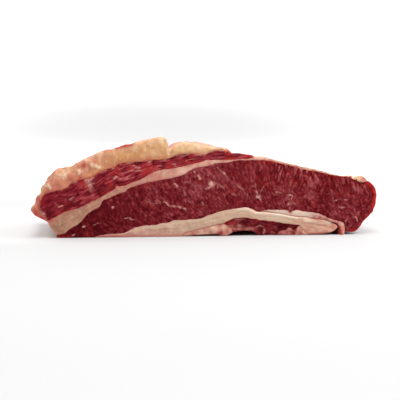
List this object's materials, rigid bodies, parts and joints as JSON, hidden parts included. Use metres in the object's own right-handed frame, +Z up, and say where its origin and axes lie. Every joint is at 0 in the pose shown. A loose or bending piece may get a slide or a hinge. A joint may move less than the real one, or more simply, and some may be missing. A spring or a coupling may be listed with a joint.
{
  "type": "raw beef brisket joint",
  "caption": "Raw beef brisket joint cut across, showing lean muscle between layers of fat, lying on its rib side.",
  "frame": {"origin": "middle of the footprint, on the surface the joint rests on", "axes": "+X along the cut face, from the thick point end with the fat cap to the round end of the flat; +Y from the front cut face to the back one; +Z up"},
  "size_m": [0.2796, 0.13, 0.0801],
  "materials": {
    "fat_cap": "raw yellow-cream fat, moist",
    "point_lean": "raw red lean, wet cut face",
    "seam_fat": "raw pink-cream fat, moist",
    "flat_lean": "raw dark red lean, wet cut face",
    "rib_fat": "raw cream fat, moist",
    "rib_flap": "raw salmon-pink silver skin, wet",
    "rib_lean": "raw dark red lean, wet cut face",
    "rib_nub": "raw pink fat, moist",
    "rib_lip": "raw pink fat, moist"
  },
  "bodies": {
    "root": {"fat_cap": "fat_cap", "point_lean": "point_lean", "seam_fat": "seam_fat", "flat_lean": "flat_lean", "rib_fat": "rib_fat", "rib_flap": "rib_flap", "rib_lean": "rib_lean", "rib_nub": "rib_nub", "rib_lip": "rib_lip"}
  },
  "joints": []
}
